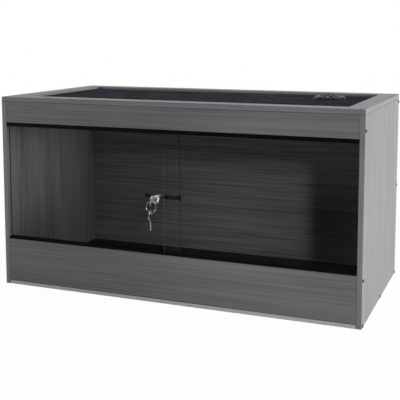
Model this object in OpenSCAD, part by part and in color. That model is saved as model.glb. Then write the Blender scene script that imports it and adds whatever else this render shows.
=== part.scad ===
// Front-opening reptile terrarium: a board cabinet with a screened top frame, a cable and feeding
// port, two sliding glass doors in a double track, and a barrel lock on a ratchet bar.
// +X to the right, +Y to the back, +Z up. Origin at the centre of the cabinet's underside.

/* [Cabinet] */
// Width over the side panels
cabinet_w = 914; // [600:1:1200]
// Depth from the front edges to the back panel's rear face
cabinet_d = 457; // [350:1:600]
// Height to the top of the top frame
cabinet_h = 480; // [380:1:600]
// Thickness of the side, back and fascia boards
board_t = 12; // [10:0.5:18]
// Thickness of the bottom board
bottom_t = 10; // [8:0.5:18]
// Height of the fascia over the glass
upper_fascia_h = 52; // [40:1:80]
// Height of the fascia under the glass
lower_fascia_h = 108; // [70:1:140]
// Thickness of the floor sheet
liner_t = 2; // [1:0.5:4]
// Gap round the floor sheet
liner_gap = 0.8; // [0.3:0.1:2]

/* [Top frame] */
// Width of a rail
rail_w = 45; // [36:1:60]
// Thickness of a rail
rail_t = 12; // [10:0.5:18]
// Width of the rebate under a rail's inner edge
rebate_w = 12; // [11:0.5:14]
// Depth from a corner joint's tongue to the frame's front and back faces
lap_stop = 12; // [8:1:20]
// Depth of the screen below the frame's top
screen_drop = 6; // [5:0.5:8]
// Diameter of the dowels between side panels and frame
dowel_d = 6; // [5:0.5:6]
// Length of a dowel
dowel_len = 20; // [16:1:24]
// Depth of a dowel's hole in the frame
dowel_rail_depth = 8; // [6:0.5:8.5]
// Distance of the outer dowels from the front and back
dowel_inset = 70; // [60:1:120]

/* [Screen] */
// Thickness of the screen
screen_t = 1.2; // [0.8:0.1:1.5]
// How far the screen reaches under a rail
screen_hold = 6; // [4:0.5:7]
// Width of a strand
strand_w = 2; // [1.5:0.1:4]
// Gaps along the width
screen_columns = 24; // [8:1:24]
// Gaps along the depth
screen_rows = 12; // [4:1:12]
// Diameter of a batten screw's shank
batten_screw_d = 2.4; // [2:0.1:2.6]
// Diameter of a batten screw's head
batten_head_d = 4.6; // [4:0.1:5]
// Height of a batten screw's head
batten_head_h = 1.4; // [1:0.1:2]
// Depth of a batten screw in the rail
batten_screw_bite = 4; // [3:0.1:4.4]
// Distance of a batten screw from the opening
batten_screw_line = 9; // [8.5:0.1:9.2]

/* [Side screws] */
// Diameter of a shank
screw_d = 4; // [3:0.1:4.5]
// Diameter of a raised countersunk head
screw_head_d = 8; // [7:0.1:8.5]
// Rise of a head over the side panel
screw_rise = 1.8; // [1:0.1:2.5]
// Overall length
screw_len = 35; // [25:1:45]
// Height of the upper fascia's screw over that fascia's lower edge
upper_screw_up = 17; // [10:1:30]
// Depth of the lower fascia's screw below that fascia's upper edge
lower_screw_down = 11; // [8:1:30]
// Depth of the back panel's top screw below the frame
back_screw_down = 8; // [7:1:30]
// Distance of the bottom board's end screws from its edges
bottom_screw_inset = 10; // [8:1:30]
// Width of a head's cross recess
recess_w = 0.9; // [0.6:0.1:1.2]
// Span of a head's cross recess
recess_span = 4.4; // [3:0.1:5]
// Depth of a head's cross recess
recess_depth = 1.2; // [0.8:0.1:1.6]

/* [Glass tracks] */
// Thickness of a track's front and back lips
lip_t = 2; // [1.5:0.1:2.5]
// Width of a groove
groove_w = 5; // [4.6:0.1:6]
// Thickness of the web between the grooves
web_t = 2.5; // [2.4:0.1:4]
// Depth of the lower grooves
lower_groove = 4; // [3:0.5:6]
// Depth of the upper grooves, deep enough to lift a door out
upper_groove = 8.5; // [8:0.5:12]
// Thickness of a track's floor
track_floor = 1.5; // [1:0.1:2]
// Height of the leg behind the fascia
leg_h = 8; // [5:0.5:12]
// Thickness of that leg
leg_t = 1.5; // [1:0.1:2]
// Gap at each end of a track
track_gap = 0.3; // [0.1:0.1:1]

/* [Glass doors] */
// Thickness of the glass
glass_t = 4; // [3:0.5:4]
// Width over which the doors overlap
door_overlap = 36; // [25:1:60]
// Distance of the overlap's middle right of the cabinet's middle
overlap_x = 5.5; // [-20:0.5:20]
// How far a door's top stands in the upper groove
door_engage = 4; // [3:0.5:4]
// Gap between a door and the side panel
door_gap = 0.5; // [0.3:0.1:2]
// Gap under a door
door_rest_gap = 0.2; // [0.1:0.1:0.3]

/* [Lock] */
// Height of the lock's axis
lock_z = 255; // [200:1:300]
// Diameter of the barrel
barrel_d = 19; // [18:0.5:22]
// Length of the barrel in front of the outer door
barrel_out = 26; // [25:1:34]
// Height of the ratchet bar
bar_h = 9.5; // [8:0.5:10]
// Thickness of the ratchet bar
bar_t = 1.5; // [1.2:0.1:1.6]
// Length of the bar beyond the outer door's edge
bar_out = 52; // [44:1:70]
// Gap between the bar and the outer door
bar_gap = 0.5; // [0.4:0.05:0.6]
// Clearance of the bar in the barrel's slot
slot_clear = 0.3; // [0.2:0.05:0.3]
// Length of the hook's lip behind the inner door
hook_lip = 10; // [6:1:14]
// Wall of the sleeve on the hook
sleeve_wall = 1.3; // [1:0.1:2]
// Pitch of the bar's teeth
tooth_pitch = 3; // [2.6:0.1:4]
// Depth of the bar's teeth
tooth_depth = 1.5; // [1.2:0.1:1.6]
// Diameter of the plug
plug_d = 11; // [10:0.5:12]
// Length of the plug
plug_len = 19.5; // [19:0.5:20]
// Radius at which the plug's pin turns, which is how far it lifts the pawl
pin_throw = 1.6; // [1.4:0.1:1.8]
// Diameter of the plug's pin
pin_d = 1.6; // [1.2:0.1:1.8]
// Width of the pawl
pawl_w = 6.4; // [6:0.1:6.8]
// Gap between the withdrawn pawl and the bar's teeth
pawl_gap = 0.3; // [0.2:0.05:0.4]

/* [Keys] */
// Thickness of a key
key_t = 2; // [1.6:0.1:2.2]
// Width of a key's blade
blade_w = 6.5; // [5.5:0.1:7]
// Length of a key's blade
blade_len = 18; // [14:0.5:18]
// Diameter of a key's bow
bow_d = 25; // [22:0.5:28]
// Length of a key's shoulder
shoulder_len = 2; // [1:0.5:5]
// Width of a key's shoulder
shoulder_w = 9; // [8:0.5:10]
// Diameter of the hole in a bow
bow_hole_d = 5.2; // [4.6:0.1:6]
// Distance of that hole from the bow's centre
bow_hole_out = 7.5; // [5:0.1:8]
// Outer diameter of the key ring
ring_d = 26; // [24:0.5:30]
// Thickness of the key ring
ring_wire = 1.8; // [1.4:0.1:2]

/* [Port] */
// Distance of the port's centre from the cabinet's right side
port_from_right = 152; // [110:1:300]
// Distance of the port's centre from the cabinet's back
port_from_back = 140; // [110:1:170]
// Outer diameter of the flange
port_d = 82; // [80:1:100]
// Bore of the tube
port_bore_d = 60; // [50:1:61]
// Wall of the tube
tube_wall = 3; // [2:0.5:3]
// Thickness of the flange
flange_t = 1.6; // [1.4:0.1:4]
// Length of the tube below the screen
tube_down = 9; // [7:0.5:14]
// Height of the turning ring
turn_ring_h = 5; // [4.6:0.1:9]
// Thickness of the clamp ring
clamp_t = 4; // [3:0.5:6]
// Number of finger notches round the turning ring
notch_count = 8; // [6:1:10]
// Diameter of a finger notch
notch_d = 11; // [8:0.5:11]
// Thickness of the cap
cap_t = 1.6; // [1.4:0.1:1.8]
// Depth of the cap's face below the top of the turning ring
cap_drop = 0.4; // [0.2:0.1:0.6]
// Width of the cap's seat in the turning ring
cap_seat = 3; // [2:0.1:3.5]
// Thickness of that seat's ledge
ledge_t = 1; // [0.8:0.1:1.2]
// Outer diameter of the gripping crown on the cap
crown_d = 46; // [30:1:50]
// Wall of the crown
crown_wall = 6; // [4:0.5:8]
// Height of the crown
crown_h = 2.8; // [2:0.1:6]
// Width of the slots through the crown
crown_slot_w = 7; // [4:0.5:8]

/* [Hidden] */

$fn = 64;
fit_gap = 0.05;      // radial gap of a screw or dowel in its hole
run_gap = 0.08;      // radial gap of a turning piece
seat_gap = 0.3;      // gap between faces that slide past each other
cut = 1;             // overshoot of a cutting shape

board_grey = "#6a6b6d";
edge_grey = "#8b8b8c";
plastic_black = "#17181a";
metal_black = "#202226";
bright_metal = "#c9ccd0";

inner_w = cabinet_w - 2 * board_t;
side_h = cabinet_h - rail_t;
front_y = -cabinet_d / 2;
inner_left = -inner_w / 2;
opening_low = bottom_t + lower_fascia_h;
opening_high = side_h - upper_fascia_h;
screen_top = cabinet_h - screen_drop;
screen_low = screen_top - screen_t;
frame_w = cabinet_w - 2 * rail_w;
frame_d = cabinet_d - 2 * rail_w;

track_d = 2 * lip_t + 2 * groove_w + web_t;
glass_slack = (groove_w - glass_t) / 2;
outer_glass_y = front_y + lip_t + glass_slack;
inner_glass_y = outer_glass_y + groove_w + web_t;
door_low = opening_low + track_floor + door_rest_gap;
door_h = opening_high - track_floor - upper_groove + door_engage - door_low;
outer_edge = overlap_x - door_overlap / 2;
inner_edge = overlap_x + door_overlap / 2;
door_end = inner_w / 2 - door_gap;

bar_y = outer_glass_y + glass_t + bar_gap;
barrel_x = outer_edge - seat_gap - barrel_d / 2;
barrel_back = inner_glass_y - seat_gap;
barrel_front = outer_glass_y - barrel_out;
plug_back = barrel_front + plug_len;
pawl_top = -bar_h / 2 - pawl_gap;
pawl_low = pawl_top - tooth_depth - 1.2;
pawl_front = plug_back + seat_gap;
pawl_arm_t = 2;
pin_slack = 0.5;     // gap round the plug's pin in the pawl's slot
pawl_roof = pin_d / 2 + pin_slack - pin_throw;
pawl_high = pawl_roof + 1.3;
web_x = inner_edge + sleeve_wall + fit_gap;
bow_y = barrel_front - seat_gap - shoulder_len - bow_d / 2;
hole_y = bow_y - bow_hole_out;
wire_drop = (bow_hole_d - ring_wire) / 2 - seat_gap;
ring_r = (ring_d - ring_wire) / 2;

port_x = cabinet_w / 2 - port_from_right;
port_y = cabinet_d / 2 - port_from_back;
tube_r = port_bore_d / 2 + tube_wall;
turn_low = screen_top + flange_t + seat_gap;
turn_high = turn_low + turn_ring_h;
cap_high = turn_high - cap_drop;
cap_low = cap_high - cap_t;
lip_low = cap_low - ledge_t;
tube_high = lip_low - seat_gap;
cap_r = port_bore_d / 2 + 1;

// Screw places on a side panel, as [distance from the front, height]
side_screw_places = [
    [board_t / 2, opening_high + upper_screw_up],
    [board_t / 2, opening_low - lower_screw_down],
    [bottom_screw_inset, bottom_t / 2],
    [cabinet_d / 2, bottom_t / 2],
    [cabinet_d - bottom_screw_inset, bottom_t / 2],
    [cabinet_d - board_t / 2, cabinet_h / 2],
    [cabinet_d - board_t / 2, side_h - back_screw_down]
];
dowel_places = [dowel_inset, cabinet_d / 2, cabinet_d - dowel_inset];
batten_line_x = frame_w / 2 + batten_screw_line;
batten_line_y = frame_d / 2 + batten_screw_line;
batten_screw_places = [
    for (sy = [-1, 1], i = [-1.5 : 1 : 1.5]) [i * frame_w / 4, sy * batten_line_y],
    for (sx = [-1, 1], sy = [-1, 1]) [sx * batten_line_x, sy * frame_d / 4]
];

// A block from one corner to the opposite one
module block(low, high) {
    translate(low) cube(high - low);
}

// A cylinder that points to +Y
module along_y(r, length) {
    rotate([-90, 0, 0]) cylinder(r = r, h = length);
}

module countersunk(gap, length) {
    head_r = screw_head_d / 2;
    cylinder(r = screw_d / 2 + gap, h = length);
    cylinder(r1 = head_r + gap, r2 = screw_d / 2 + gap, h = head_r - screw_d / 2);
}

// Side screws, or with a gap their holes, pointing inwards from one side
module side_screw_set(side, gap, length) {
    for (p = side_screw_places)
        translate([side * cabinet_w / 2, front_y + p[0], p[1]])
            rotate([0, -90 * side, 0]) countersunk(gap, length);
}

module side_screw_holes() {
    for (side = [-1, 1]) side_screw_set(side, fit_gap, screw_len + 1);
}

module dowel_holes() {
    hole_len = dowel_len + 1;
    for (side = [-1, 1], y = dowel_places)
        translate([side * (cabinet_w - board_t) / 2, front_y + y, side_h + dowel_rail_depth - hole_len])
            cylinder(d = dowel_d + 2 * fit_gap, h = hole_len);
}

module batten_screw_holes() {
    for (p = batten_screw_places)
        translate([p[0], p[1], side_h - cut])
            cylinder(d = batten_screw_d + 2 * fit_gap, h = screen_top - side_h + cut + batten_screw_bite + 0.5);
}

module bottom_panel() {
    color(edge_grey) difference() {
        block([inner_left, front_y, 0], [-inner_left, -front_y, bottom_t]);
        side_screw_holes();
    }
}

module floor_liner() {
    edge_x = inner_w / 2 - liner_gap;
    color(plastic_black)
        block([-edge_x, front_y + board_t + liner_gap, bottom_t],
              [edge_x, -front_y - board_t - liner_gap, bottom_t + liner_t]);
}

module side_panel(side) {
    color(board_grey) difference() {
        translate([side * (cabinet_w - board_t) / 2, 0, side_h / 2])
            cube([board_t, cabinet_d, side_h], center = true);
        side_screw_holes();
        dowel_holes();
    }
}

module left_side_panel() { side_panel(-1); }

module right_side_panel() { side_panel(1); }

module back_panel() {
    color(board_grey) difference() {
        block([inner_left, -front_y - board_t, bottom_t], [-inner_left, -front_y, side_h]);
        side_screw_holes();
    }
}

module fascia(low, high) {
    color(board_grey) difference() {
        block([inner_left, front_y, low], [-inner_left, front_y + board_t, high]);
        side_screw_holes();
    }
}

module upper_front_fascia() { fascia(opening_high, side_h); }

module lower_front_fascia() { fascia(bottom_t, opening_low); }

// Space cut out of all four rails for the screen and its battens
module screen_rebate() {
    half_w = frame_w / 2 + rebate_w;
    half_d = frame_d / 2 + rebate_w;
    block([-half_w, -half_d, side_h - cut], [half_w, half_d, screen_top]);
}

// Front rail for side -1 and back rail for side 1, half-lapped behind its outer face over the side rails
module cross_rail(side) {
    color(edge_grey) difference() {
        translate([0, side * (cabinet_d - rail_w) / 2, side_h + rail_t / 2])
            cube([inner_w, rail_w, rail_t], center = true);
        for (end = [-1, 1])
            translate([end * (frame_w + inner_w + 2 * cut) / 4, side * (frame_d + rail_w - lap_stop - cut) / 2, side_h])
                cube([(inner_w - frame_w) / 2 + cut, rail_w - lap_stop + cut, rail_t], center = true);
        screen_rebate();
        batten_screw_holes();
    }
}

// Left rail for side -1 and right rail for side 1, full depth with a tongue at each end
module long_rail(side) {
    lap_w = rail_w - board_t;
    color(edge_grey) difference() {
        translate([side * (cabinet_w - rail_w) / 2, 0, side_h + rail_t / 2])
            cube([rail_w, cabinet_d, rail_t], center = true);
        for (end = [-1, 1]) translate([side * (cabinet_w / 2 - board_t - (lap_w + cut) / 2), 0, 0]) {
            translate([0, end * (cabinet_d - rail_w + cut) / 2, cabinet_h])
                cube([lap_w + cut, rail_w + cut, rail_t], center = true);
            translate([0, end * (cabinet_d - lap_stop + cut) / 2, cabinet_h])
                cube([lap_w + cut, lap_stop + cut, 2 * rail_t + cut], center = true);
        }
        screen_rebate();
        batten_screw_holes();
        dowel_holes();
    }
}

module top_front_rail() { cross_rail(-1); }

module top_back_rail() { cross_rail(1); }

module top_left_rail() { long_rail(-1); }

module top_right_rail() { long_rail(1); }

module frame_dowels() {
    low = side_h + dowel_rail_depth - dowel_len - 0.5;
    color("burlywood")
        for (side = [-1, 1], y = dowel_places)
            translate([side * (cabinet_w - board_t) / 2, front_y + y, low])
                cylinder(d = dowel_d, h = dowel_len);
}

// Flat net with a plain patch round the port
module mesh_screen() {
    pitch_x = frame_w / screen_columns;
    pitch_y = frame_d / screen_rows;
    net_w = frame_w + 2 * screen_hold;
    net_d = frame_d + 2 * screen_hold;
    color(metal_black) translate([0, 0, screen_low]) linear_extrude(screen_t) difference() {
        union() {
            difference() {
                square([net_w, net_d], center = true);
                for (i = [0 : screen_columns - 1], j = [0 : screen_rows - 1])
                    translate([(i + 0.5) * pitch_x - frame_w / 2, (j + 0.5) * pitch_y - frame_d / 2])
                        square([pitch_x - strand_w, pitch_y - strand_w], center = true);
            }
            translate([port_x, port_y]) circle(d = port_d);
        }
        translate([port_x, port_y]) circle(r = tube_r + seat_gap);
    }
}

// One strip that holds the screen up in the rebate
module batten(low, high) {
    color(plastic_black) difference() {
        block([low[0], low[1], side_h], [high[0], high[1], screen_low]);
        batten_screw_holes();
    }
}

batten_out_x = frame_w / 2 + rebate_w - seat_gap;
batten_out_y = frame_d / 2 + rebate_w - seat_gap;

module front_mesh_batten() { batten([-batten_out_x, -batten_out_y], [batten_out_x, -frame_d / 2]); }

module back_mesh_batten() { batten([-batten_out_x, frame_d / 2], [batten_out_x, batten_out_y]); }

module left_mesh_batten() { batten([-batten_out_x, -frame_d / 2], [-frame_w / 2, frame_d / 2]); }

module right_mesh_batten() { batten([frame_w / 2, -frame_d / 2], [batten_out_x, frame_d / 2]); }

module batten_screws() {
    color(metal_black)
        for (p = batten_screw_places) translate([p[0], p[1], side_h - batten_head_h]) {
            cylinder(d = batten_screw_d, h = batten_head_h + screen_top - side_h + batten_screw_bite);
            cylinder(d = batten_head_d, h = batten_head_h);
        }
}

module panel_screws(side) {
    head_r = screw_head_d / 2;
    slope = 1.2;
    color(metal_black) difference() {
        union() {
            side_screw_set(side, 0, screw_len);
            for (p = side_screw_places)
                translate([side * cabinet_w / 2, front_y + p[0], p[1]]) rotate([0, 90 * side, 0])
                    cylinder(r1 = head_r, r2 = head_r - slope, h = screw_rise);
        }
        for (p = side_screw_places, turn = [0, 90])
            translate([side * (cabinet_w / 2 + screw_rise), front_y + p[0], p[1]]) rotate([turn, 0, 0])
                cube([2 * recess_depth, recess_w, recess_span], center = true);
    }
}

module left_panel_screws() { panel_screws(-1); }

module right_panel_screws() { panel_screws(1); }

// Double groove that opens towards +Z, with its leg below, seated at z = 0
module track_profile(depth) {
    height = track_floor + depth;
    difference() {
        union() {
            square([track_d, height]);
            translate([board_t + fit_gap, -leg_h]) square([leg_t, leg_h + track_floor]);
        }
        for (i = [0, 1])
            translate([lip_t + i * (groove_w + web_t), track_floor]) square([groove_w, height]);
    }
}

module track(depth) {
    length = inner_w - 2 * track_gap;
    color(plastic_black) translate([-length / 2, 0, 0]) rotate([90, 0, 90])
        linear_extrude(length) track_profile(depth);
}

module upper_glass_track() {
    translate([0, front_y, opening_high]) mirror([0, 0, 1]) track(upper_groove);
}

module lower_glass_track() {
    translate([0, front_y, opening_low]) track(lower_groove);
}

module glass_door(left, right, y) {
    color("lightcyan", 0.35) block([left, y, door_low], [right, y + glass_t, door_low + door_h]);
}

module inner_glass_door() { glass_door(-door_end, inner_edge, inner_glass_y); }

module outer_glass_door() { glass_door(outer_edge, door_end, outer_glass_y); }

// Bar between the doors with a hook round the inner door's edge, seen from above
module bar_plan() {
    hook_y = inner_glass_y + glass_t + seat_gap;
    bar_left = outer_edge - bar_out;
    translate([bar_left, bar_y]) square([web_x + bar_t - bar_left, bar_t]);
    translate([web_x, bar_y]) square([bar_t, hook_y + bar_t - bar_y]);
    translate([web_x - hook_lip, hook_y]) square([hook_lip + bar_t, bar_t]);
}

module ratchet_bar() {
    teeth_left = floor((bar_out - barrel_d / 2) / tooth_pitch) - 1;
    color(metal_black) translate([0, 0, lock_z]) difference() {
        translate([0, 0, -bar_h / 2]) linear_extrude(bar_h) bar_plan();
        for (i = [-teeth_left : 3])
            translate([barrel_x + i * tooth_pitch, bar_y - cut, -bar_h / 2]) rotate([-90, 0, 0])
                linear_extrude(bar_t + 2 * cut)
                    polygon([[-tooth_pitch / 2, 0], [0, -tooth_depth], [tooth_pitch / 2, 0], [0, cut]]);
    }
}

// Rubber sleeve round the hook's web, against the inner door's edge
module ratchet_bar_sleeve() {
    low_y = bar_y + bar_t + seat_gap;
    high_y = inner_glass_y + glass_t;
    wall = sleeve_wall + fit_gap;
    color(plastic_black) translate([0, 0, lock_z]) difference() {
        block([web_x - wall, low_y, -bar_h / 2 - wall], [web_x + bar_t + wall, high_y, bar_h / 2 + wall]);
        block([web_x - fit_gap, low_y - cut, -bar_h / 2 - fit_gap],
              [web_x + bar_t + fit_gap, high_y + cut, bar_h / 2 + fit_gap]);
    }
}

module barrel_body() {
    length = barrel_back - barrel_front;
    rim = 1;
    rotate([-90, 0, 0]) rotate_extrude()
        polygon([[0, 0], [barrel_d / 2 - rim, 0], [barrel_d / 2, rim], [barrel_d / 2, length], [0, length]]);
}

module lock_barrel() {
    slot_h = bar_h + 2 * slot_clear;
    slot_back = bar_y + bar_t + slot_clear;
    pocket_w = pawl_w + 2 * slot_clear;
    color(bright_metal) translate([barrel_x, 0, lock_z]) difference() {
        translate([0, barrel_front, 0]) barrel_body();
        block([-barrel_d, bar_y - slot_clear, -slot_h / 2], [barrel_d, slot_back, slot_h / 2]);
        translate([0, barrel_front - cut, 0]) along_y(plug_d / 2 + run_gap, plug_len + cut + seat_gap);
        block([-pocket_w / 2, plug_back, pawl_low - slot_clear],
              [pocket_w / 2, slot_back, pawl_high + pin_throw + slot_clear]);
    }
}

module lock_plug() {
    keyway_t = key_t + 0.3;
    keyway_w = blade_w + 0.3;
    color("silver") translate([barrel_x, 0, lock_z]) {
        difference() {
            translate([0, barrel_front, 0]) along_y(plug_d / 2, plug_len);
            block([-keyway_t / 2, barrel_front - cut, -keyway_w / 2],
                  [keyway_t / 2, barrel_front + blade_len + 0.5, keyway_w / 2]);
        }
        translate([0, plug_back - 0.5, -pin_throw])
            along_y(pin_d / 2, 0.5 + seat_gap + pawl_arm_t);
    }
}

// Sliding pawl: an arm with a side slot for the plug's pin, and a tooth under the bar
module lock_pawl() {
    tooth_low = pawl_top - tooth_depth;
    slot_reach = pin_d / 2 + pin_slack;
    color("darkgray") translate([barrel_x, 0, lock_z]) difference() {
        union() {
            block([-pawl_w / 2, pawl_front, pawl_low], [pawl_w / 2, pawl_front + pawl_arm_t, pawl_high]);
            block([-pawl_w / 2, pawl_front, pawl_low], [pawl_w / 2, bar_y + bar_t, tooth_low]);
            translate([0, bar_y, pawl_top]) rotate([-90, 0, 0]) linear_extrude(bar_t)
                polygon([[0, 0], [tooth_pitch / 2, tooth_depth], [tooth_pitch / 2, tooth_depth + 0.6],
                         [-tooth_pitch / 2, tooth_depth + 0.6], [-tooth_pitch / 2, tooth_depth]]);
        }
        block([-pawl_w, pawl_front - cut, -pin_throw - slot_reach],
              [slot_reach, pawl_front + pawl_arm_t + cut, pawl_roof]);
    }
}

// Key with its bow centred at the origin and its blade towards +Y
module key_shape() {
    tip = bow_d / 2 + shoulder_len + seat_gap + blade_len;
    difference() {
        union() {
            rotate([0, 90, 0]) cylinder(d = bow_d, h = key_t, center = true);
            block([-key_t / 2, 0, -shoulder_w / 2], [key_t / 2, bow_d / 2 + shoulder_len, shoulder_w / 2]);
            block([-key_t / 2, 0, -blade_w / 2], [key_t / 2, tip, blade_w / 2]);
        }
        translate([0, -bow_hole_out, 0]) rotate([0, 90, 0]) cylinder(d = bow_hole_d, h = 2 * key_t, center = true);
        for (i = [0 : 3])
            translate([0, tip - 3 - 3.6 * i, blade_w / 2]) rotate([45, 0, 0])
                cube([2 * key_t, 1.6, 1.6], center = true);
    }
}

module lock_key() {
    color(bright_metal) translate([barrel_x, bow_y, lock_z]) key_shape();
}

module key_ring() {
    color(bright_metal) translate([barrel_x, hole_y, lock_z - wire_drop - ring_r]) rotate([90, 0, 0])
        rotate_extrude() translate([ring_r, 0]) circle(d = ring_wire, $fn = 24);
}

module spare_key() {
    hang = wire_drop + 2 * ring_r + wire_drop + bow_hole_out;
    color(bright_metal) translate([barrel_x, hole_y, lock_z - hang]) rotate([-90, 0, 0]) key_shape();
}

// Ring of one cross-section turned about the port's axis
module port_turned(profile) {
    translate([port_x, port_y, 0]) rotate_extrude($fn = 96) polygon(profile);
}

// Notches round the edge of a ring
module rim_notches(low, high, first) {
    for (i = [0 : notch_count - 1])
        translate([port_x, port_y, low]) rotate([0, 0, first + i * 360 / notch_count])
            translate([port_d / 2, 0, 0]) cylinder(d = notch_d, h = high - low, $fn = 32);
}

module port_base() {
    bore = port_bore_d / 2;
    flange_r = port_d / 2;
    tube_low = screen_low - tube_down;
    color(plastic_black) port_turned([
        [bore, tube_low], [tube_r, tube_low], [tube_r, screen_top], [flange_r, screen_top],
        [flange_r, screen_top + flange_t - 0.8], [flange_r - 0.8, screen_top + flange_t],
        [tube_r, screen_top + flange_t], [tube_r, tube_high], [bore, tube_high]
    ]);
}

module port_clamp_ring() {
    clamp_r = port_d / 2;
    color(plastic_black) difference() {
        port_turned([
            [tube_r + run_gap, screen_low - clamp_t], [clamp_r, screen_low - clamp_t],
            [clamp_r, screen_low], [tube_r + run_gap, screen_low]
        ]);
        rim_notches(screen_low - clamp_t - cut, screen_low + cut, 0);
    }
}

module port_turning_ring() {
    outer_r = port_d / 2 - 1;
    edge_h = 1.2;
    top_w = 1.5;
    seat_r = cap_r + seat_gap;
    lip_r = cap_r - cap_seat;
    color(plastic_black) difference() {
        port_turned([
            [tube_r + run_gap, turn_low], [outer_r, turn_low], [outer_r, turn_low + edge_h],
            [seat_r + top_w, turn_high], [seat_r, turn_high], [seat_r, cap_low],
            [lip_r, cap_low], [lip_r, lip_low], [tube_r + run_gap, lip_low]
        ]);
        rim_notches(turn_low - cut, turn_high + cut, 180 / notch_count);
    }
}

module port_cap() {
    rim = 0.5;
    crown_r = crown_d / 2;
    crown_top = cap_high + crown_h;
    color(plastic_black) {
        port_turned([
            [0, cap_low], [cap_r, cap_low], [cap_r, cap_high - rim], [cap_r - rim, cap_high], [0, cap_high]
        ]);
        difference() {
            port_turned([
                [crown_r - crown_wall, cap_high - rim], [crown_r, cap_high - rim], [crown_r, crown_top - rim],
                [crown_r - rim, crown_top], [crown_r - crown_wall, crown_top]
            ]);
            for (turn = [0 : 45 : 135])
                translate([port_x, port_y, cap_high + (crown_h + cut) / 2]) rotate([0, 0, turn])
                    cube([crown_d + cut, crown_slot_w, crown_h + cut], center = true);
        }
    }
}

bottom_panel();
floor_liner();
left_side_panel();
right_side_panel();
back_panel();
upper_front_fascia();
lower_front_fascia();
top_front_rail();
top_back_rail();
top_left_rail();
top_right_rail();
frame_dowels();
mesh_screen();
front_mesh_batten();
back_mesh_batten();
left_mesh_batten();
right_mesh_batten();
batten_screws();
left_panel_screws();
right_panel_screws();
upper_glass_track();
lower_glass_track();
inner_glass_door();
outer_glass_door();
ratchet_bar();
ratchet_bar_sleeve();
lock_barrel();
lock_plug();
lock_pawl();
lock_key();
key_ring();
spare_key();
port_base();
port_clamp_ring();
port_turning_ring();
port_cap();
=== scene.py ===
import math

import bmesh
import bpy
from mathutils import Matrix, Vector


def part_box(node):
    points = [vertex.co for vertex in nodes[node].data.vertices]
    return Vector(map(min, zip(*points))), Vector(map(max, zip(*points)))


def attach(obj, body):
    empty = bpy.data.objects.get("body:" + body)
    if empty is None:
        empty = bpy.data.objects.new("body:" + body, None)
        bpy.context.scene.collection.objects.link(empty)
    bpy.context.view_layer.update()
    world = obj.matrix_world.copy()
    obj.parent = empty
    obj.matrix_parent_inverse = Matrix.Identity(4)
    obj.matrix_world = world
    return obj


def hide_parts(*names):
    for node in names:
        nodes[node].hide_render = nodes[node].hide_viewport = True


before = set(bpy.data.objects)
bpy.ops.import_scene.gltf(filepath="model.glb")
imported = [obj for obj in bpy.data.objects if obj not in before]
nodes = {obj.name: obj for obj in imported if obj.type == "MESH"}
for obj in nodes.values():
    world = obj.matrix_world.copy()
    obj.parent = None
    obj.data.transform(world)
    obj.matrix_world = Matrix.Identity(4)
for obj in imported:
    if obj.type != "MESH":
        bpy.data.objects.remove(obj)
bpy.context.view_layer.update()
scene = bpy.context.scene
scene.view_settings.view_transform = "Standard"
print("frame loaded:", len(nodes), "nodes")

# A compromise: no camera's perspective fits all of the photo's corners
viewPoint = {
    "position": (0.7786, -1.9486, 0.6438),
    "turnDeg": 21.588,   # to the left of +Y
    "dropDeg": 6.194,    # below level
    "lensMm": 73.86,
    "sensorMm": 36,
    "shiftX": -0.018,
    "shiftY": -0.2,
    "farthest": 50,      # metres
}


def makeCamera(v):
    data = bpy.data.cameras.new("photoCamera")
    data.sensor_width = v["sensorMm"]
    data.lens = v["lensMm"]
    data.shift_x, data.shift_y = v["shiftX"], v["shiftY"]
    data.clip_end = v["farthest"]
    cam = bpy.data.objects.new("photoCamera", data)
    cam.location = v["position"]
    cam.rotation_euler = (math.radians(90 - v["dropDeg"]), 0, math.radians(v["turnDeg"]))
    scene.collection.objects.link(cam)
    scene.camera = cam


makeCamera(viewPoint)


# An sRGB hex colour as linear light, times a gain
def linear(hexText, gain=1.0):
    parts = [int(hexText[i:i + 2], 16) / 255 for i in (1, 3, 5)]
    return tuple(gain * (c / 12.92 if c <= 0.04045 else ((c + 0.055) / 1.055) ** 2.4) for c in parts) + (1,)


# Settings are inputs by name or number, or properties. stops are the spots and colours of a colour ramp
def addNode(tree, kind, settings=None, links=None, stops=()):
    node = tree.nodes.new(kind)
    for key, value in (settings or {}).items():
        if isinstance(key, int) or key in node.inputs:
            node.inputs[key].default_value = value
        else:
            setattr(node, key, value)
    for key, source in (links or {}).items():
        tree.links.new(source, node.inputs[key])
    for i, (spot, colour) in enumerate(stops):
        elements = node.color_ramp.elements
        element = elements[i] if i < len(elements) else elements.new(spot)
        element.position, element.color = spot, colour
    return node


def newMaterial(name):
    material = bpy.data.materials.new(name)
    material.use_nodes = True
    tree = material.node_tree
    tree.nodes.clear()
    output = addNode(tree, "ShaderNodeOutputMaterial")
    return material, tree, output.inputs["Surface"]


# Grain of the given size in mm along X, Y and Z. start moves it to another part of the noise
def grainPattern(tree, sizesMm, noise, start=0.0):
    scale = [1000 / size for size in sizesMm]
    place = addNode(tree, "ShaderNodeTexCoord").outputs["Object"]
    mapping = addNode(tree, "ShaderNodeMapping", {"Scale": scale, "Location": (start, start, start)},
                      {"Vector": place})
    return addNode(tree, "ShaderNodeTexNoise", {"Scale": 1.0, **noise},
                   {"Vector": mapping.outputs["Vector"]}).outputs["Fac"]


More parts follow.
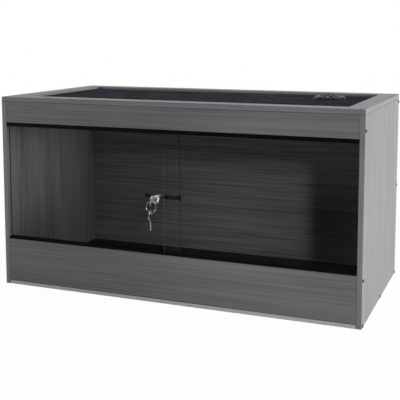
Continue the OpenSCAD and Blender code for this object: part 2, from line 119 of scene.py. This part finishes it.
# Melamine-faced chipboard: a grey oak print pressed with a brushed texture, so it has straight fine streaks
# along the grain and a satin sheen
boardLook = {
    "base": "#818183",
    # Layers of the print, with the share of each that is added to the fine one. The print's pores are under
    # 1 mm wide, drawn coarser so that they show
    "layers": {
        "fine": {"widthMm": 3.2, "lengthMm": 300, "start": 0.0,
                 "noise": {"Detail": 4.0, "Roughness": 0.6, "Distortion": 0.12}},
        "hair": {"widthMm": 1.3, "lengthMm": 150, "start": 7.7, "noise": {"Detail": 2.0}, "share": 0.5},
        "band": {"widthMm": 11.0, "lengthMm": 600, "start": 5.3, "noise": {"Detail": 2.0}, "share": 0.3},
        "drift": {"widthMm": 60.0, "lengthMm": 450, "start": 3.1, "noise": {"Detail": 1.0}, "share": 0.25},
    },
    "reach": 0.285,          # how far the sum of the layers goes to each side of its middle
    "roughness": 0.46,
    "roughnessSwing": 0.06,
    "dullest": 0.3,          # values of the fine layer at which a board is roughest and smoothest
    "smoothest": 0.9,
    "specular": 0.25,
    "bump": 0.22,
    "bumpMm": 0.4,
}


# along is the grain's axis, and broad is how much of the wide bands and drifts the face shows
def laminate(name, along, contrast, gain=1.0, broad=1.0):
    look, layers = boardLook, boardLook["layers"]
    material, tree, surface = newMaterial(name)

    def streaks(key):
        layer = layers[key]
        sizesMm = [layer["lengthMm"] if axis == along else layer["widthMm"] for axis in range(3)]
        return grainPattern(tree, sizesMm, layer["noise"], layer["start"])

    def withLayer(base, key, part=1.0):
        return addNode(tree, "ShaderNodeMath", {"operation": "MULTIPLY_ADD", 1: layers[key]["share"] * part},
                       {0: streaks(key), 2: base}).outputs[0]

    fine = streaks("fine")
    pores = withLayer(fine, "hair")
    grainPrint = withLayer(withLayer(pores, "band", broad), "drift", broad)
    wide = broad * (layers["band"]["share"] + layers["drift"]["share"])
    middle = (1 + layers["hair"]["share"] + wide) / 2
    share = addNode(tree, "ShaderNodeMapRange",
                    {"From Min": middle - look["reach"], "From Max": middle + look["reach"]},
                    {"Value": grainPrint}).outputs["Result"]
    tones = ((0.0, 1 - contrast), (0.5, 1.0), (1.0, 1 + contrast))
    colour = addNode(tree, "ShaderNodeValToRGB", {}, {"Fac": share},
                     [(spot, linear(look["base"], gain * tone)) for spot, tone in tones])
    rough = addNode(tree, "ShaderNodeMapRange",
                    {"From Min": look["dullest"], "From Max": look["smoothest"],
                     "To Min": look["roughness"] + look["roughnessSwing"],
                     "To Max": look["roughness"] - look["roughnessSwing"]}, {"Value": fine})
    bump = addNode(tree, "ShaderNodeBump", {"Strength": look["bump"], "Distance": look["bumpMm"] / 1000},
                   {"Height": pores})
    skin = addNode(tree, "ShaderNodeBsdfPrincipled", {"Specular IOR Level": look["specular"]},
                   {"Base Color": colour.outputs["Color"], "Roughness": rough.outputs["Result"],
                    "Normal": bump.outputs["Normal"]})
    tree.links.new(skin.outputs[0], surface)
    return material


# Moulded or extruded plastic, and anything coated: grain from the mould or die gives a soft, broken sheen
plasticLook = {"cloudMm": 71.4, "darkAt": 0.3, "lightAt": 0.7, "roughnessSwing": 0.06, "bumpMm": 0.3}


# stretch is how much longer the grain is along X, as drawn lines are on an extrusion
def grainedPlastic(name, dark, light, grainMm, roughness, bump, specular=0.5, stretch=1.0):
    look = plasticLook
    material, tree, surface = newMaterial(name)
    grain = grainPattern(tree, (grainMm * stretch, grainMm, grainMm), {"Detail": 3.0})
    cloud = grainPattern(tree, [look["cloudMm"]] * 3, {"Detail": 2.0})
    colour = addNode(tree, "ShaderNodeValToRGB", {}, {"Fac": cloud},
                     [(look["darkAt"], linear(dark)), (look["lightAt"], linear(light))])
    swing = look["roughnessSwing"]
    rough = addNode(tree, "ShaderNodeMapRange", {"To Min": roughness - swing, "To Max": roughness + swing},
                    {"Value": grain})
    relief = addNode(tree, "ShaderNodeBump", {"Strength": bump, "Distance": look["bumpMm"] / 1000},
                     {"Height": grain})
    skin = addNode(tree, "ShaderNodeBsdfPrincipled", {"Specular IOR Level": specular},
                   {"Base Color": colour.outputs["Color"], "Roughness": rough.outputs["Result"],
                    "Normal": relief.outputs["Normal"]})
    tree.links.new(skin.outputs[0], surface)
    return material


# Soda-lime float glass, 4 mm: clear and nearly colourless through its faces, with cut edges that catch or
# hold the light
glassLook = {
    "face": "#fcfbfa",
    "mirrorShare": 0.006,
    "edgeClear": "#c9d6d0",
    "edgeShare": 0.75,       # share of the ground edge that isn't clear
    "edgeRoughness": 0.3,
    "faceTurn": 0.5,         # a normal's Y from which a surface is one of the pane's faces
}


def floatGlass(name, edgeColour):
    look = glassLook
    material, tree, surface = newMaterial(name)
    clear = addNode(tree, "ShaderNodeBsdfTransparent", {"Color": linear(look["face"])})
    mirror = addNode(tree, "ShaderNodeBsdfGlossy", {"Roughness": 0.0})
    faces = addNode(tree, "ShaderNodeMixShader", {0: look["mirrorShare"]},
                    {1: clear.outputs[0], 2: mirror.outputs[0]})
    edgeClear = addNode(tree, "ShaderNodeBsdfTransparent", {"Color": linear(look["edgeClear"])})
    groundEdge = addNode(tree, "ShaderNodeBsdfPrincipled",
                         {"Base Color": linear(edgeColour), "Roughness": look["edgeRoughness"]})
    edges = addNode(tree, "ShaderNodeMixShader", {0: look["edgeShare"]},
                    {1: edgeClear.outputs[0], 2: groundEdge.outputs[0]})
    normal = addNode(tree, "ShaderNodeNewGeometry").outputs["Normal"]
    axes = addNode(tree, "ShaderNodeSeparateXYZ", {}, {0: normal})
    size = addNode(tree, "ShaderNodeMath", {"operation": "ABSOLUTE"}, {0: axes.outputs["Y"]})
    isFace = addNode(tree, "ShaderNodeMath", {"operation": "GREATER_THAN", 1: look["faceTurn"]},
                     {0: size.outputs[0]})
    whole = addNode(tree, "ShaderNodeMixShader", {},
                    {0: isFace.outputs[0], 1: edges.outputs[0], 2: faces.outputs[0]})
    tree.links.new(whole.outputs[0], surface)
    return material


# Plated or bare turned metal: buffed first, so faint polishing marks break up its reflections
metalLook = {"markStretch": 4.0, "smoothest": 0.6, "roughest": 1.5, "bump": 0.05, "bumpMm": 0.1}


def buffedMetal(name, colour, roughness, markMm):
    look = metalLook
    material, tree, surface = newMaterial(name)
    marks = grainPattern(tree, (markMm, markMm * look["markStretch"], markMm), {"Detail": 3.0})
    rough = addNode(tree, "ShaderNodeMapRange",
                    {"To Min": roughness * look["smoothest"], "To Max": roughness * look["roughest"]},
                    {"Value": marks})
    bump = addNode(tree, "ShaderNodeBump", {"Strength": look["bump"], "Distance": look["bumpMm"] / 1000},
                   {"Height": marks})
    skin = addNode(tree, "ShaderNodeBsdfPrincipled", {"Base Color": linear(colour), "Metallic": 1.0},
                   {"Roughness": rough.outputs["Result"], "Normal": bump.outputs["Normal"]})
    tree.links.new(skin.outputs[0], surface)
    return material


# Beech dowel: turned and unfinished, so it is matt, with short flecks along its length
dowelLook = {"fleckMm": 1.111, "fleckLengthMm": 8.333, "dark": "#b98a5c", "light": "#d9b283",
             "darkAt": 0.3, "lightAt": 0.7, "roughness": 0.6}


def beechDowel(look):
    material, tree, surface = newMaterial("beechDowel")
    sizesMm = (look["fleckMm"], look["fleckMm"], look["fleckLengthMm"])
    fleck = grainPattern(tree, sizesMm, {"Detail": 3.0})
    colour = addNode(tree, "ShaderNodeValToRGB", {}, {"Fac": fleck},
                     [(look["darkAt"], linear(look["dark"])), (look["lightAt"], linear(look["light"]))])
    skin = addNode(tree, "ShaderNodeBsdfPrincipled", {"Roughness": look["roughness"]},
                   {"Base Color": colour.outputs["Color"]})
    tree.links.new(skin.outputs[0], surface)
    return material


# The print's contrast, as a share of its colour. The back and the side walls' inner faces show more of it:
# painted light, for the light from the front that rakes their brushed texture. The PVC edge banding is
# plainer, and paler partly by its own colour and partly by painted light that its narrow faces catch
faceContrast, edgeContrast, wallContrast, backContrast = 0.3, 0.15, 0.6, 0.65
# Gains of the banding: partly its own paler colour, partly painted light that the narrow faces catch,
# strongest on edges along X such as the bottom panel's front edge
edgeToneAndLightGains, railEdgeToneAndLightGain = (3.2, 1.2, 1.3), 1.25   # for grain along X, Y and Z, and on the top frame
boardFace = [laminate("laminateFace" + axis, i, faceContrast) for i, axis in enumerate("XYZ")]
boardEdge = [laminate("edgeBanding" + axis, i, edgeContrast, edgeToneAndLightGains[i]) for i, axis in enumerate("XYZ")]
railEdge = laminate("edgeBandingRail", 0, edgeContrast, railEdgeToneAndLightGain)
# The cabin's inner walls get brighter copies of the laminate: painted light, for the light that reaches into
# the cabin
sideInsideLit = laminate("laminateSideInsideLit", 2, wallContrast, gain=1.1)
backInsideLit = laminate("laminateBackInsideLit", 0, backContrast, gain=1.15, broad=0.5)
# Painted shade in the fine groove where two boards meet: a dark, matt line on the rounded arrises of a joint
paintedJointShade = grainedPlastic("paintedJointShade", "#333335", "#424244", grainMm=0.8, roughness=0.7, bump=0.1,
                          specular=0.2)
# Extruded PVC: black, with fine drawn lines along the track
trackPvc = grainedPlastic("extrudedPvcBlack", "#030303", "#060606", grainMm=1.2, roughness=0.5, bump=0.12,
                          specular=0.1, stretch=40.0)
# Rolled polypropylene sheet with a fine leather grain: black and nearly matt
liner = grainedPlastic("linerPolypropylene", "#030304", "#070708", grainMm=1.6, roughness=0.55, bump=0.2,
                       specular=0.1)
# Woven steel wire, powder coated: the coat dulls the wire
coatedWire = grainedPlastic("wovenWireCoated", "#2c2d35", "#3d3f49", grainMm=0.8, roughness=0.6, bump=0.1,
                            specular=0.1)
# Moulded ABS: the mould's spark grain leaves a satin black with soft highlights
portAbs = grainedPlastic("portAbsBlack", "#040405", "#070708", grainMm=0.7, roughness=0.38, bump=0.2,
                         specular=0.22)
# Moulded rubber: dull, with a fine bloom
sleeveRubber = grainedPlastic("sleeveRubber", "#0e0e0e", "#161616", grainMm=0.6, roughness=0.75, bump=0.3)
# Steel screws in a black phosphate coat, which is matt
phosphate = grainedPlastic("screwPhosphate", "#060606", "#0d0d0d", grainMm=0.5, roughness=0.6, bump=0.2,
                           specular=0.2)
# The inner pane's cut edge stands in the outer pane's shade, so its colour is darker, as painted shade;
# the outer pane's edge colour is lighter, as painted light that it catches
innerPane = floatGlass("innerFloatGlass", "#1a211e")
outerPane = floatGlass("outerFloatGlass", "#585e5b")
# Bright chrome plate, nickel plate, bare turned steel and black nickel plate, from the brightest to the
# darkest
chrome = buffedMetal("barrelChrome", "#e6e8ea", roughness=0.2, markMm=0.8)
nickel = buffedMetal("keyNickel", "#e0e1e3", roughness=0.17, markMm=0.6)
turnedSteel = buffedMetal("plugSteel", "#a5a5a6", roughness=0.3, markMm=0.5)
blackNickel = buffedMetal("barBlackNickel", "#2b2b2f", roughness=0.2, markMm=0.7)
beech = beechDowel(dowelLook)

finishes = {
    "bottom_panel": boardFace[0], "back_panel": backInsideLit, "upper_front_fascia": boardFace[0],
    "lower_front_fascia": boardFace[0], "top_front_rail": boardFace[0], "top_back_rail": boardFace[0],
    "top_left_rail": boardFace[1], "top_right_rail": boardFace[1], "left_side_panel": boardFace[2],
    "right_side_panel": boardFace[2], "frame_dowels": beech, "floor_liner": liner, "mesh_screen": coatedWire,
    "front_mesh_batten": trackPvc, "back_mesh_batten": trackPvc, "left_mesh_batten": trackPvc,
    "right_mesh_batten": trackPvc, "batten_screws": phosphate, "left_panel_screws": phosphate,
    "right_panel_screws": phosphate, "upper_glass_track": trackPvc, "lower_glass_track": trackPvc,
    "inner_glass_door": innerPane, "outer_glass_door": outerPane, "ratchet_bar": blackNickel,
    "ratchet_bar_sleeve": sleeveRubber, "lock_barrel": chrome, "lock_plug": turnedSteel,
    "lock_pawl": turnedSteel, "lock_key": nickel, "key_ring": nickel, "spare_key": nickel,
    "port_base": portAbs, "port_clamp_ring": portAbs, "port_turning_ring": portAbs, "port_cap": portAbs,
}
for name, material in finishes.items():
    data = nodes[name].data
    data.materials.clear()
    data.materials.append(material)
print("finishes on", len(finishes), "nodes")


def finishPiece(name, mesh, materials, body, replaced=None, smoothDeg=None):
    data = bpy.data.meshes.new(name)
    mesh.to_mesh(data)
    mesh.free()
    for material in materials:
        data.materials.append(material)
    piece = bpy.data.objects.new(name, data)
    scene.collection.objects.link(piece)
    if smoothDeg is not None:
        for polygon in data.polygons:
            polygon.use_smooth = True
        data.set_sharp_from_angle(angle=math.radians(smoothDeg))
    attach(piece, body)
    if replaced:
        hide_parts(replaced)


meshCare = {
    "mergeDistance": 2e-6,
    "flatDeg": 0.5,          # faces that turn less than this are one flat face
    "sharpDeg": 35,          # edges that turn more than this are arrises
    "smoothDeg": 40,
    "squareOn": 0.98,        # part of a normal along an axis from which its face is square to that axis
}


# A copy of a CAD node's loose triangles, merged, with its flat faces whole again
def mergedCopy(name):
    mesh = bmesh.new()
    mesh.from_mesh(nodes[name].data)
    bmesh.ops.remove_doubles(mesh, verts=mesh.verts, dist=meshCare["mergeDistance"])
    bmesh.ops.dissolve_limit(mesh, angle_limit=math.radians(meshCare["flatDeg"]), verts=mesh.verts,
                             edges=mesh.edges)
    return mesh


def sharpEdges(mesh, sharpDeg=meshCare["sharpDeg"]):
    return [e for e in mesh.edges if len(e.link_faces) == 2 and e.calc_face_angle(0) > math.radians(sharpDeg)]


def roundArrises(mesh, edges, roundMm, segments=2):
    bmesh.ops.bevel(mesh, geom=edges, offset=roundMm / 1000, segments=segments, profile=0.5, affect="EDGES",
                    material=-1, clamp_overlap=True)


# Boards: the arrises of each board are rounded, which leaves a fine groove wherever two boards meet, given a
# dark colour as painted shade
boardSet = {
    "arrisMm": 0.5,
    "bottomArrisMm": 1.0,    # the groove under the lower fascia is the widest
    "nearMm": 1.5,           # an arris this close to another board lies on a joint
    "faceAxis": {"bottom_panel": 2, "back_panel": 1, "upper_front_fascia": 1, "lower_front_fascia": 1,
                 "top_front_rail": 2, "top_back_rail": 2, "top_left_rail": 2, "top_right_rail": 2,
                 "left_side_panel": 0, "right_side_panel": 0},
    "grainAxis": {"top_left_rail": 1, "top_right_rail": 1, "left_side_panel": 2, "right_side_panel": 2},
    "inwardX": {"left_side_panel": 1, "right_side_panel": -1},
}


def dressBoard(name, b):
    mesh = mergedCopy(name)
    low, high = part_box(name)
    near, square, touching = b["nearMm"] / 1000, meshCare["squareOn"], 1e-5
    others = [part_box(other) for other in b["faceAxis"] if other != name]

    def isArris(edge):
        ends = [v.co for v in edge.verts]
        return sum(all(abs(end[i] - side[i]) < touching for end in ends)
                   for i in range(3) for side in (low, high)) >= 2

    def meetsBoard(spot):
        return any(all(otherLow[i] - near <= spot[i] <= otherHigh[i] + near for i in range(3))
                   for otherLow, otherHigh in others)

    arris = b["bottomArrisMm"] if name == "bottom_panel" else b["arrisMm"]
    roundArrises(mesh, [edge for edge in mesh.edges if isArris(edge)], arris)
    faceAxis, grain, inward = b["faceAxis"][name], b["grainAxis"].get(name, 0), b["inwardX"].get(name, 0)
    plain, banded, joint, inside = range(4)   # the places of the materials below
    for face in mesh.faces:
        size = [abs(v) for v in face.normal]
        if max(size) < square:
            face.material_index = joint if meetsBoard(face.calc_center_median()) else plain
        elif size[faceAxis] > square:
            face.material_index = inside if face.normal.x * inward > square else plain
        else:
            face.material_index = plain if size[0] > square else banded
    facing = backInsideLit if name == "back_panel" else boardFace[grain]
    edging = railEdge if name.startswith("top_") else boardEdge[grain]
    materials = [facing, edging, paintedJointShade, sideInsideLit]
    finishPiece(name + "Board", mesh, materials, "cabinet", name)


for name in boardSet["faceAxis"]:
    dressBoard(name, boardSet)
print("boards dressed:", len(boardSet["faceAxis"]))


# Woven screen: straight wires in two layers, over and under. The pitch is the real one, near 10 mesh
screenWeave = {"pitchMm": 2.6, "wireMm": 0.5, "wireSides": 6, "layerMm": 0.2, "portGapMm": 33.8}


def addWire(mesh, start, end, along, w):
    turn = Matrix.Rotation(math.pi / 2, 4, "Y" if along == 0 else "X")
    radius = w["wireMm"] / 1000 / 2
    bmesh.ops.create_cone(mesh, cap_ends=True, segments=w["wireSides"], radius1=radius, radius2=radius,
                          depth=(end - start).length, matrix=Matrix.Translation((start + end) / 2) @ turn)


def weaveScreen(w):
    low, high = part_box("mesh_screen")
    portLow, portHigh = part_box("port_clamp_ring")
    port = (portLow + portHigh) / 2
    centre = (low + high) / 2
    pitch, layer, portGap = w["pitchMm"] / 1000, w["layerMm"] / 1000, w["portGapMm"] / 1000
    mesh = bmesh.new()
    for along, across in ((0, 1), (1, 0)):
        count = int((high[across] - low[across]) / pitch)
        height = centre.z + (layer if along == 0 else -layer)
        for i in range(count + 1):
            offset = centre[across] + (i - count / 2) * pitch
            reach = portGap ** 2 - (offset - port[across]) ** 2
            stops = [low[along], high[along]]
            # A wire that meets the port stops at its hole and goes on behind it
            if reach > 0:
                stops[1:1] = [port[along] - math.sqrt(reach), port[along] + math.sqrt(reach)]
            for start, end in zip(stops[::2], stops[1::2]):
                a, b = Vector((0, 0, height)), Vector((0, 0, height))
                a[along], b[along] = start, end
                a[across] = b[across] = offset
                addWire(mesh, a, b, along, w)
    finishPiece("wovenScreen", mesh, [coatedWire], "cabinet", "mesh_screen")


weaveScreen(screenWeave)
print("screen woven")


# Hard pieces whose sharp arrises are rounded: node -> body, slot, radius in mm
softened = {
    "ratchet_bar": ("inner_door", "black_nickel", 0.2),
    "lock_plug": ("lock_plug", "steel", 0.25),
    "left_panel_screws": ("cabinet", "black_steel", 0.3),
    "right_panel_screws": ("cabinet", "black_steel", 0.3),
    "port_base": ("cabinet", "port_plastic", 0.35),
    "port_turning_ring": ("port_turning_ring", "port_plastic", 0.5),
    "port_cap": ("port_cap", "port_plastic", 0.45),
}


def soften(name, body, roundMm):
    mesh = mergedCopy(name)
    roundArrises(mesh, sharpEdges(mesh), roundMm)
    finishPiece(name + "Soft", mesh, [finishes[name]], body, name, meshCare["smoothDeg"])


for name, (body, slotName, roundMm) in softened.items():
    soften(name, body, roundMm)
print("pieces softened:", len(softened))


# Lock barrel: chrome-plated turned body with a raised bezel round its plug
barrelSet = {
    "roundMm": 0.6,
    "roundSegments": 3,
    "bezelSteps": 48,
    # Radius, and place along Y from the barrel's front
    "bezelMm": [(9.35, 0.0), (9.4, -0.35), (9.0, -0.85), (8.2, -0.95), (7.2, -0.6), (6.2, 0.0)],
}


def makeBarrel(b):
    mesh = mergedCopy("lock_barrel")
    roundArrises(mesh, sharpEdges(mesh), b["roundMm"], b["roundSegments"])
    finishPiece("barrelBody", mesh, [chrome], "lock_barrel", "lock_barrel", meshCare["smoothDeg"])
    low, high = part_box("lock_barrel")
    centre = Vector(((low.x + high.x) / 2, low.y, (low.z + high.z) / 2))
    mesh = bmesh.new()
    verts = [mesh.verts.new(centre + Vector((r / 1000, y / 1000, 0))) for r, y in b["bezelMm"]]
    edges = [mesh.edges.new(pair) for pair in zip(verts, verts[1:])]
    bmesh.ops.spin(mesh, geom=verts + edges, cent=centre, axis=(0, 1, 0), angle=2 * math.pi,
                   steps=b["bezelSteps"], use_merge=True)
    bmesh.ops.recalc_face_normals(mesh, faces=mesh.faces)
    finishPiece("barrelBezel", mesh, [chrome], "lock_barrel", None, meshCare["smoothDeg"])


# Keys: stamped from nickel-plated brass, with a rim coined round the bow and a groove milled along the blade
keySet = {
    "rimMm": 1.1,
    "sunkMm": 0.3,
    "roundMm": 0.3,
    "sharpDeg": 60,
    "bowFrom": 2e-5,         # square metres from which a flat face is sunk inside a rim
}


def makeKey(name, body, k):
    mesh = mergedCopy(name)
    flat = [f for f in mesh.faces if abs(f.normal.x) > meshCare["squareOn"] and f.calc_area() > k["bowFrom"]]
    bmesh.ops.inset_region(mesh, faces=flat, thickness=k["rimMm"] / 1000, depth=-k["sunkMm"] / 1000,
                           use_even_offset=True)
    roundArrises(mesh, sharpEdges(mesh, k["sharpDeg"]), k["roundMm"])
    finishPiece(name + "Coined", mesh, [nickel], body, name, meshCare["smoothDeg"])


# Split ring: two turns of spring wire side by side
ringSet = {"turns": 1.9, "stepsPerTurn": 48, "wireMm": 0.88, "wireSides": 10, "smoothDeg": 50}


def makeRing(r):
    low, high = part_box("key_ring")
    centre = (low + high) / 2
    wire = r["wireMm"] / 1000
    radius = (high.x - low.x) / 2 - wire / 2
    steps = int(r["turns"] * r["stepsPerTurn"])
    start = Vector((centre.x + radius, low.y + wire / 2, centre.z))
    mesh = bmesh.new()
    bmesh.ops.create_circle(mesh, cap_ends=True, segments=r["wireSides"], radius=wire / 2,
                            matrix=Matrix.Translation(start))
    rise = Vector((0, (high.y - low.y - wire) / steps, 0))
    bmesh.ops.spin(mesh, geom=mesh.faces[:], cent=centre, axis=(0, 1, 0), dvec=rise,
                   angle=r["turns"] * 2 * math.pi, steps=steps)
    bmesh.ops.recalc_face_normals(mesh, faces=mesh.faces)
    finishPiece("splitRing", mesh, [nickel], "key_ring", "key_ring", r["smoothDeg"])


makeBarrel(barrelSet)
makeKey("lock_key", "lock_key", keySet)
makeKey("spare_key", "spare_key", keySet)
makeRing(ringSet)
print("lock and keys made")

studio = {
    "floorSize": 16.0,
    "floorColour": "#e6e6e6",
    "whiteNear": 0.97,       # share of plain white that the camera sees on the floor beside the cabinet
    "whiteFrom": 0.6,        # metres from the middle at which the floor starts to turn plain white
    "whiteTo": 1.6,
    "ambient": 0.03,         # share of the room's light that reaches matt surfaces
    # The studio is dark behind the camera, and white behind the cabinet and above. The walls turn white
    # between two values of a direction's Y, and the ceiling between two of its Z
    "darkFront": 0.1,
    "wallFrom": -0.5,
    "wallTo": 0.4,
    "ceilingFrom": 0.45,
    "ceilingTo": 0.8,
}


def makeFloor(s):
    mesh = bmesh.new()
    bmesh.ops.create_grid(mesh, x_segments=1, y_segments=1, size=s["floorSize"] / 2)
    data = bpy.data.meshes.new("studioFloor")
    mesh.to_mesh(data)
    mesh.free()
    floor = bpy.data.objects.new("studioFloor", data)
    scene.collection.objects.link(floor)
    # Matt paper sweep: plain white to the camera, with only the cabinet's faint shadow left on it
    material, tree, surface = newMaterial("studioFloorPaper")
    place = addNode(tree, "ShaderNodeTexCoord").outputs["Object"]
    distance = addNode(tree, "ShaderNodeVectorMath", {"operation": "LENGTH"}, {0: place}).outputs["Value"]
    whiteShare = addNode(tree, "ShaderNodeMapRange",
                         {"From Min": s["whiteFrom"], "From Max": s["whiteTo"], "To Min": s["whiteNear"],
                          "To Max": 1.0}, {"Value": distance})
    seen = addNode(tree, "ShaderNodeLightPath").outputs["Is Camera Ray"]
    share = addNode(tree, "ShaderNodeMath", {"operation": "MULTIPLY"},
                    {0: seen, 1: whiteShare.outputs["Result"]})
    paper = addNode(tree, "ShaderNodeBsdfDiffuse", {"Color": linear(s["floorColour"])})
    white = addNode(tree, "ShaderNodeEmission", {"Color": linear("#ffffff"), "Strength": 1.0})
    sweep = addNode(tree, "ShaderNodeMixShader", {},
                    {0: share.outputs[0], 1: paper.outputs[0], 2: white.outputs[0]})
    tree.links.new(sweep.outputs[0], surface)
    data.materials.append(material)


def makeWorld(s):
    world = bpy.data.worlds.new("studioWorld")
    world.use_nodes = True
    tree = world.node_tree
    tree.nodes.clear()
    direction = addNode(tree, "ShaderNodeTexCoord").outputs["Generated"]
    axes = addNode(tree, "ShaderNodeSeparateXYZ", {}, {0: direction})
    wall = addNode(tree, "ShaderNodeMapRange",
                   {"From Min": s["wallFrom"], "From Max": s["wallTo"], "To Min": s["darkFront"],
                    "To Max": 1.0}, {"Value": axes.outputs["Y"]})
    ceiling = addNode(tree, "ShaderNodeMapRange", {"From Min": s["ceilingFrom"], "From Max": s["ceilingTo"]},
                      {"Value": axes.outputs["Z"]})
    room = addNode(tree, "ShaderNodeMath", {"operation": "MAXIMUM"},
                   {0: wall.outputs[0], 1: ceiling.outputs[0]})
    # Reflections show the whole room, matt surfaces get the ambient share, and the camera sees plain white
    path = addNode(tree, "ShaderNodeLightPath").outputs
    glossy = addNode(tree, "ShaderNodeMapRange", {"To Min": s["ambient"], "To Max": 1.0},
                     {"Value": path["Is Glossy Ray"]})
    lit = addNode(tree, "ShaderNodeMath", {"operation": "MULTIPLY"},
                  {0: room.outputs[0], 1: glossy.outputs[0]})
    seen = addNode(tree, "ShaderNodeMath", {"operation": "MAXIMUM"},
                   {0: path["Is Camera Ray"], 1: path["Is Transmission Ray"]})
    strength = addNode(tree, "ShaderNodeMapRange", {"To Max": 1.0},
                       {"Value": seen.outputs[0], "To Min": lit.outputs[0]})
    sky = addNode(tree, "ShaderNodeBackground", {"Color": linear("#ffffff")},
                  {"Strength": strength.outputs["Result"]})
    addNode(tree, "ShaderNodeOutputWorld", {}, {"Surface": sky.outputs[0]})
    scene.world = world


# A spot's size is the width of its lens, and a soft box has a width and a height
def addLamp(name, place, aim, size, watts, spotDeg=None):
    data = bpy.data.lights.new(name, "SPOT" if spotDeg else "AREA")
    if spotDeg:
        data.shadow_soft_size = size / 2
        data.spot_size = math.radians(spotDeg)
        data.spot_blend = 1.0
    else:
        data.shape = "RECTANGLE"
        data.size, data.size_y = size
    data.energy = watts
    lamp = bpy.data.objects.new(name, data)
    lamp.location = place
    lamp.rotation_euler = (Vector(aim) - Vector(place)).to_track_quat("-Z", "Y").to_euler()
    scene.collection.objects.link(lamp)


makeFloor(studio)
makeWorld(studio)
# A soft box beside the right panel, two spots right of the camera that reach the cabin's back and left wall,
# two soft boxes that rake across the front from its ends, and one above for the top
lampSet = {
    "sideSoftbox": {"place": (3.0, 0.1, 1.0), "aim": (0.45, 0.0, 0.25), "size": (1.2, 1.2), "watts": 91},
    "cabinSpot": {"place": (2.0, -3.55, 1.3), "aim": (0.01, 0.216, 0.1), "size": 0.5, "watts": 195,
                  "spotDeg": 9.5},
    "wallSpot": {"place": (1.9, -2.6, 0.9), "aim": (-0.46, -0.2, 0.32), "size": 0.3, "watts": 14,
                 "spotDeg": 10},
    "rakingSoftbox": {"place": (2.6, -1.4, 0.95), "aim": (0.2, -0.2, 0.2), "size": (0.8, 0.8), "watts": 13},
    "leftSoftbox": {"place": (-2.3, -0.95, 0.9), "aim": (0.0, -0.25, 0.25), "size": (0.7, 0.7),
                    "watts": 22.5},
    "topSoftbox": {"place": (0.5, 0.5, 2.8), "aim": (0.1, 0.0, 0.48), "size": (1.4, 1.0), "watts": 12},
}
for lampName, setting in lampSet.items():
    addLamp(lampName, **setting)
print("studio lit")
